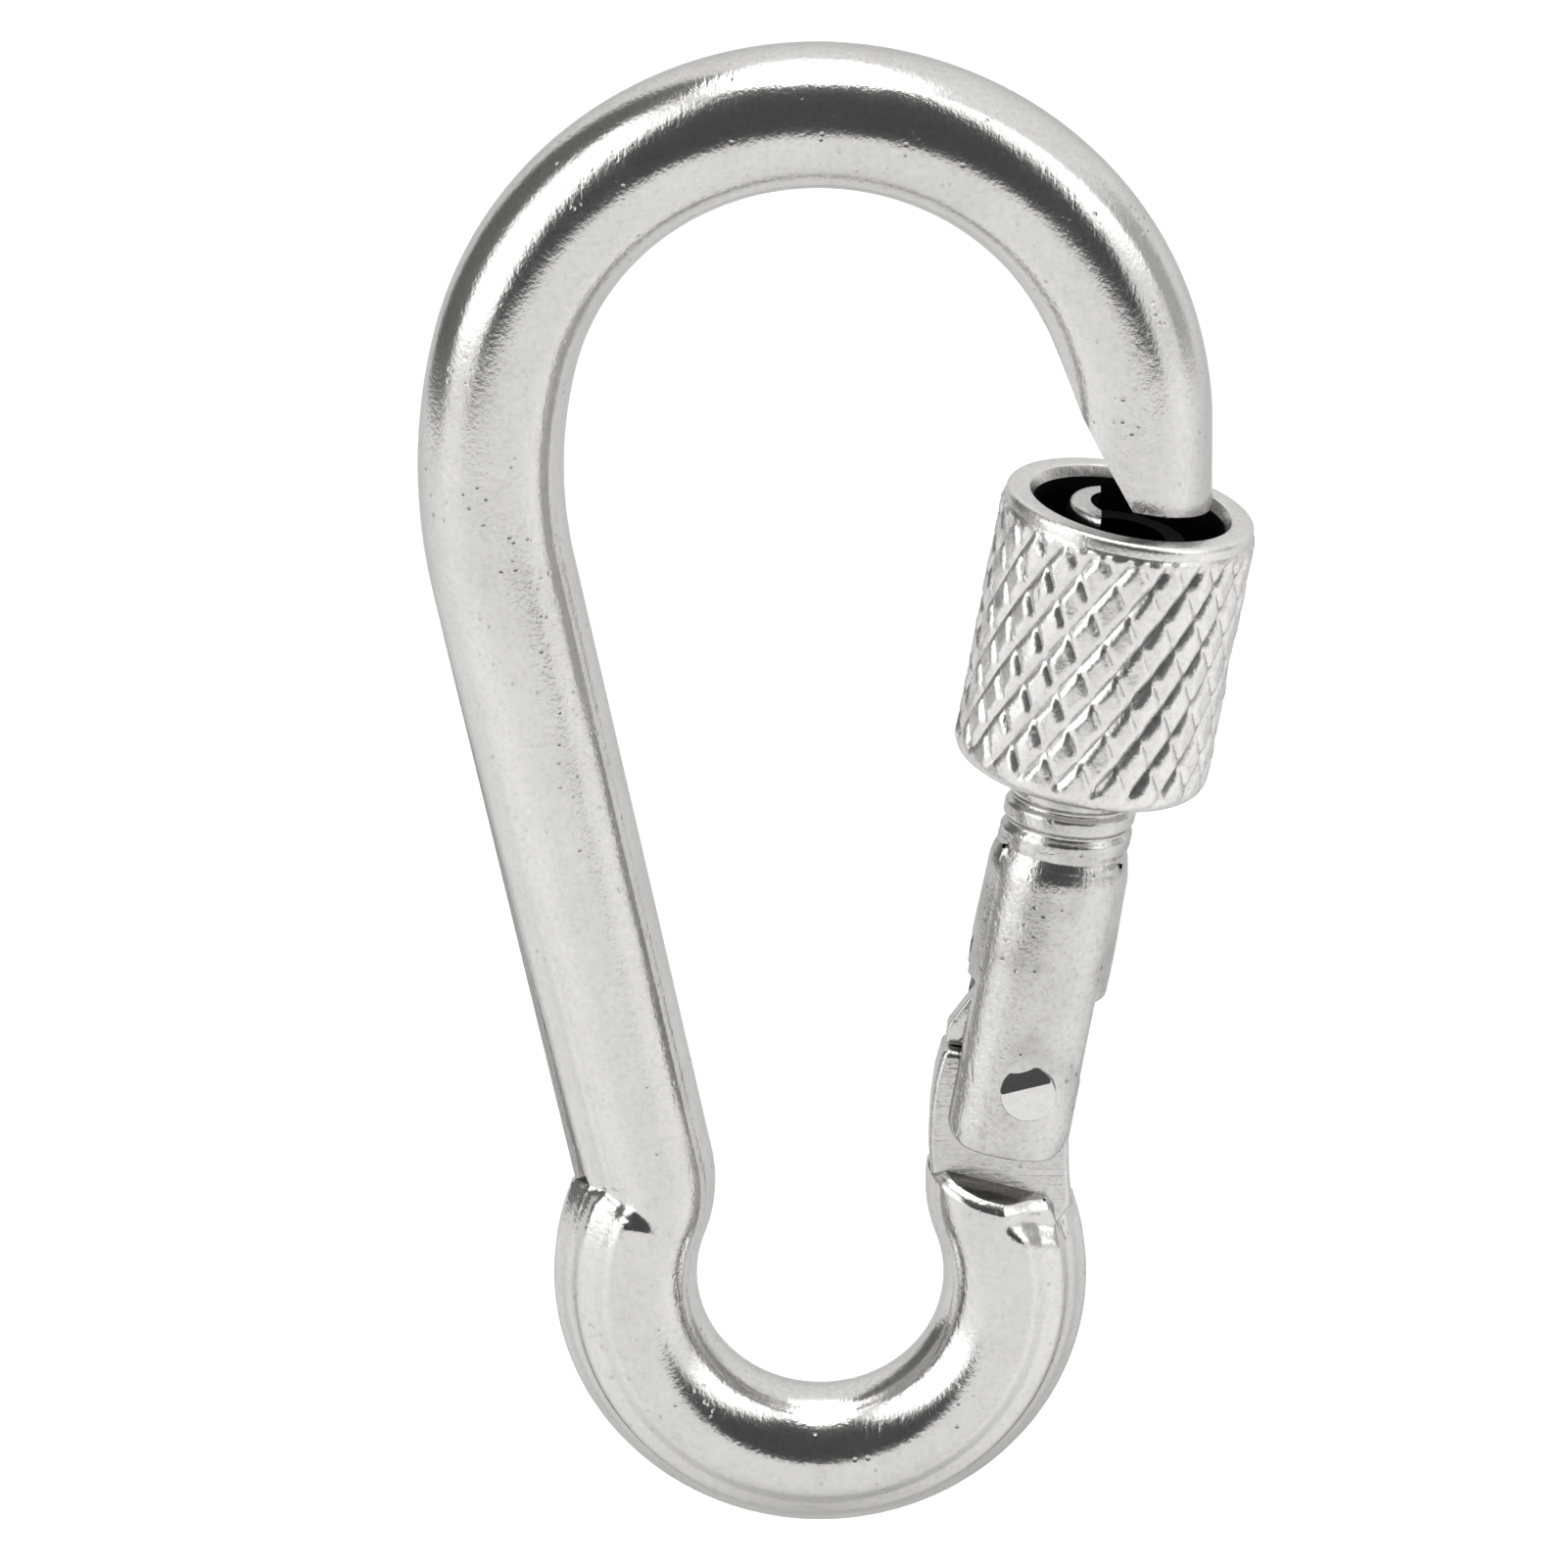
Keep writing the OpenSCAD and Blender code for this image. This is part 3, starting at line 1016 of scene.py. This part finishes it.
def sleeve_profile():
    """The sleeve's section as a closed line of (radius, height) points."""
    low, high, shoulder = SLEEVE_LOW, SLEEVE_HIGH, 0.85
    step = DIAMOND_RISE / DIAMOND_CELLS
    profile = [(SLEEVE_BORE_R, low + 3.2), (SLEEVE_BORE_R, low + 0.2), (2.8, low)]
    profile += corner(SLEEVE_R - shoulder, low + shoulder, shoulder, -90, 0, 7)[:-1]
    profile += [(SLEEVE_R, KNURL_LOW + i * step) for i in range(KNURL_ROWS + 1)]
    profile += [(4.80, KNURL_HIGH + 0.1), (4.80, KNURL_HIGH + 0.14)]
    profile += corner(4.56, high - 0.24, 0.24, 0, 90, 5)
    profile += corner(4.0, high - 0.12, 0.12, 90, 150, 3)
    profile += [(3.72, high - 0.42), (3.58, high - 0.8), (SLEEVE_MOUTH_R, high - 1.1)]
    return profile + [(SLEEVE_MOUTH_R, low + 3.7), (SLEEVE_BORE_R, low + 3.2)]


def to_line(place):
    """How far a place is from the nearest whole number: 0 on it and 1 half way between two."""
    return abs((place + 0.5) % 1 - 0.5) * 2


def press_knurl(bm, settings, seed):
    """Presses two families of grooves into the sleeve and leaves each diamond's top a little askew."""
    around, deep = settings.diamonds, settings.depth / MM
    wide, narrow, shallow = 0.44, 0.36, 0.7
    draw = random.Random(seed)
    lift = {}
    for v in bm.verts:
        z = v.co.z / MM
        r = math.hypot(v.co.x, v.co.y) / MM
        if not (r > 4.55 and SLEEVE_LOW + 0.25 < z < KNURL_HIGH + 0.05):
            continue
        turn = around * math.atan2(v.co.y, v.co.x) / TAU
        rise = (z - KNURL_LOW) / DIAMOND_RISE
        u, w = turn + rise, turn - rise
        near_u, near_w = to_line(u), to_line(w)
        groove = max(deep * (1 - near_w / wide), deep * shallow * (1 - near_u / narrow), 0)

        cell = (math.floor(u + 1e-4) % around, math.floor(w + 1e-4))
        if cell not in lift:
            lift[cell] = [draw.uniform(-1, 1) for _ in range(3)]
        up, lean_u, lean_w = lift[cell]
        top = 0.03 + 0.03 * up + 0.13 * (lean_u * (u % 1 - 0.5) + lean_w * (w % 1 - 0.5))
        cut = groove + max(0, top) * smooth_step(0.1, 0.7, min(near_u, near_w))
        cut += noise.noise(v.co * 900) * 0.05
        fade = smooth_step(SLEEVE_LOW + 0.2, KNURL_LOW + 0.3, z)
        fade *= 1 - smooth_step(KNURL_HIGH - 0.32, KNURL_HIGH, z) * 0.75
        new = r - fade * cut
        v.co.x *= new / r
        v.co.y *= new / r


def split_knurl(bm):
    """Splits each cell of the knurl along its lower diagonal, so that the grooves run clean."""
    knurled = []
    for face in bm.faces:
        c = face.calc_center_median() / MM
        on_side = math.hypot(c.x, c.y) > 4.3 and SLEEVE_LOW + 0.3 < c.z < KNURL_HIGH
        if on_side and len(face.verts) == 4:
            knurled.append(face)
    for face in knurled:
        a, b, c, d = face.verts
        size = [math.hypot(v.co.x, v.co.y) for v in (a, b, c, d)]
        pair = (a, c) if size[0] + size[2] < size[1] + size[3] else (b, d)
        bmesh.utils.face_split(face, *pair)


def build_sleeve(settings, finish):
    """The knurled sleeve."""
    bm = bmesh.new()
    lathe(bm, sleeve_profile(), settings.diamonds * DIAMOND_CELLS)
    press_knurl(bm, settings, finish.seed)
    split_knurl(bm)
    bmesh.ops.transform(bm, matrix=GATE, verts=bm.verts)
    colour = scaled(finish.colour, 1.16)
    metal = steel("sleeve steel", colour, finish.rough + 0.12, grain=1.4, pits=0.5)
    sleeve = finish_mesh(bm, "knurled_sleeve", metal)
    sharp_edges(sleeve.data, 60)

    def hidden(centre, normal):
        return math.hypot(centre.x, centre.y) < 3.7 and centre.z > SLEEVE_LOW + 0.4

    # The faces inside the sleeve's mouth get the painted shade.
    second_material(sleeve, painted_shade_steel("sleeve inside painted shade", finish.colour), hidden)
    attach(sleeve, "sleeve")
    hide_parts("locking_sleeve")


# ---------------------------------------------------------------- stage


def azimuth(x, y):
    """Degrees round from the viewer's side, growing to the right."""
    return x.math("ARCTAN2", y * -1.0) * (360 / TAU)


def studio_light(world):
    """A white studio: soft lights overhead and at both sides, and a dark room behind the viewer."""
    world.use_nodes = True
    t = Tree(world.node_tree)
    x, y, z = t.parts(t.node("ShaderNodeTexCoord", out="Generated"))
    height = z.math("ARCSINE") * (360 / TAU)
    turn = azimuth(x, y)
    # each patch: from, to and fading width round the studio, then the same in height, then its light
    patches = (
        ((-138.0, -84.0, 5.0), (-14.0, 68.0, 5.0), grey(0.21)),
        ((84.0, 116.0, 7.0), (-9.0, 24.0, 8.0), grey(0.62)),
        ((-46.0, 47.0, 5.0), (-12.0, 69.0, 2.5), paint((0.10, 0.10, 0.102))),
        ((-88.0, -42.0, 4.0), (-4.0, 55.0, 4.0), grey(2.3)),
        ((50.0, 84.0, 5.0), (13.0, 64.0, 4.0), grey(2.2)),
    )
    light = grey(1.2)
    for sideways, upwards, level in patches:
        light = t.mix(turn.between(*sideways) * height.between(*upwards), light, level)
    light = t.mix(height.rise(65.0, 74.0), light, grey(6.3))
    shader = t.node("ShaderNodeBackground", Color=light, Strength=1.0)
    t.node("ShaderNodeOutputWorld", Surface=shader)


def floor_paint():
    """A pale floor with painted light and shade: a little lighter beside the viewer and darker to the
    right.
    """
    material = bpy.data.materials.new("pale floor")
    material.use_nodes = True
    t = Tree(material.node_tree)
    place = t.node("ShaderNodeTexCoord", out="Object")
    x, y, _ = t.parts(place)
    turn = azimuth(x, y)
    shade = t.mix(t.noise(place, 40.0), grey(0.755), grey(0.775))
    # Painted light: lighter on both sides beside the viewer, where the side lamps' light would pool.
    shade = t.mix(turn.math("ABSOLUTE").between(58.0, 84.0, 22.0), shade, grey(0.86))
    # Painted shade: darker to the right and a little behind.
    shade = t.mix(turn.between(98.0, 138.0, 16.0), shade, grey(0.68))
    shader = t.node("ShaderNodeBsdfPrincipled", Base_Color=shade, Roughness=0.9)
    t.node("ShaderNodeOutputMaterial", Surface=shader)
    return material


def place_camera(scene):
    """Looks down at the hook from far off, so that it is seen almost without perspective."""
    distance, tilt = 1.2, math.radians(20)
    camera = bpy.data.objects.new("camera", bpy.data.cameras.new("camera"))
    scene.collection.objects.link(camera)
    aim = flat(-1.29, -24.16)
    camera.location = aim + Vector((0, -math.cos(tilt), math.sin(tilt))) * distance
    camera.rotation_euler = (math.pi / 2 - tilt, 0, 0)
    camera.data.sensor_width = 36.0
    camera.data.lens = 722.0
    camera.data.clip_start = 0.05
    scene.camera = camera


def build_stage():
    """The floor, the studio light and the camera."""
    scene = bpy.context.scene
    bm = bmesh.new()
    bmesh.ops.create_circle(bm, cap_ends=True, segments=128, radius=0.29)
    bmesh.ops.translate(bm, verts=bm.verts, vec=(0.06, 0.03, FLOOR_Z * MM))
    floor = finish_mesh(bm, "floor", floor_paint(), turn=False)

    world = bpy.data.worlds.new("studio")
    scene.world = world
    studio_light(world)
    place_camera(scene)
    scene.view_settings.view_transform = "Standard"


# ---------------------------------------------------------------- operators and panel


class KEYRING_OT_hook(bpy.types.Operator):
    """Builds the bent wire and the flat tongue at its end"""

    bl_idname = "keyring.hook"
    bl_label = "Hook"

    def execute(self, context):
        scene = context.scene
        build_hook(scene.keyring_hook, scene.keyring_finish)
        return {"FINISHED"}


class KEYRING_OT_gate(bpy.types.Operator):
    """Builds the forked gate with its thread and the rivet it turns on"""

    bl_idname = "keyring.gate"
    bl_label = "Gate and Rivet"

    def execute(self, context):
        scene = context.scene
        build_gate(scene.keyring_gate, scene.keyring_finish)
        return {"FINISHED"}


class KEYRING_OT_plunger(bpy.types.Operator):
    """Builds the plunger and its coil spring inside the gate"""

    bl_idname = "keyring.plunger"
    bl_label = "Plunger and Spring"

    def execute(self, context):
        build_plunger(context.scene.keyring_finish)
        return {"FINISHED"}


class KEYRING_OT_sleeve(bpy.types.Operator):
    """Builds the knurled locking sleeve"""

    bl_idname = "keyring.sleeve"
    bl_label = "Locking Sleeve"

    def execute(self, context):
        scene = context.scene
        build_sleeve(scene.keyring_sleeve, scene.keyring_finish)
        return {"FINISHED"}


class KEYRING_OT_stage(bpy.types.Operator):
    """Sets the pale floor, the studio light and the camera"""

    bl_idname = "keyring.stage"
    bl_label = "Stage"

    def execute(self, context):
        build_stage()
        return {"FINISHED"}


class KEYRING_PT_panel(bpy.types.Panel):
    """Lists the pieces and their settings"""

    bl_idname = "KEYRING_PT_panel"
    bl_label = "Snap Hook Keyring"
    bl_space_type = "VIEW_3D"
    bl_region_type = "UI"
    bl_category = "Keyring"

    def draw(self, context):
        layout = self.layout
        scene = context.scene
        for group, names, operator in (
            (scene.keyring_finish, ("colour", "rough", "seed"), None),
            (scene.keyring_hook, ("wire", "crease"), "keyring.hook"),
            (scene.keyring_gate, ("pitch", "thread"), "keyring.gate"),
            (None, (), "keyring.plunger"),
            (scene.keyring_sleeve, ("diamonds", "depth"), "keyring.sleeve"),
            (None, (), "keyring.stage"),
        ):
            box = layout.box()
            for name in names:
                box.prop(group, name)
            if operator:
                box.operator(operator)


CLASSES = (
    HookSettings,
    SleeveSettings,
    GateSettings,
    FinishSettings,
    KEYRING_OT_hook,
    KEYRING_OT_gate,
    KEYRING_OT_plunger,
    KEYRING_OT_sleeve,
    KEYRING_OT_stage,
    KEYRING_PT_panel,
)
GROUPS = {
    "keyring_hook": HookSettings,
    "keyring_sleeve": SleeveSettings,
    "keyring_gate": GateSettings,
    "keyring_finish": FinishSettings,
}


def register():
    for made in CLASSES:
        bpy.utils.register_class(made)
    for name, group in GROUPS.items():
        setattr(bpy.types.Scene, name, PointerProperty(type=group))


def unregister():
    for name in GROUPS:
        delattr(bpy.types.Scene, name)
    for made in reversed(CLASSES):
        bpy.utils.unregister_class(made)


def main():
    register()
    bpy.ops.keyring.hook()
    bpy.ops.keyring.gate()
    bpy.ops.keyring.plunger()
    bpy.ops.keyring.sleeve()
    bpy.ops.keyring.stage()


if __name__ == "__main__":
    main()
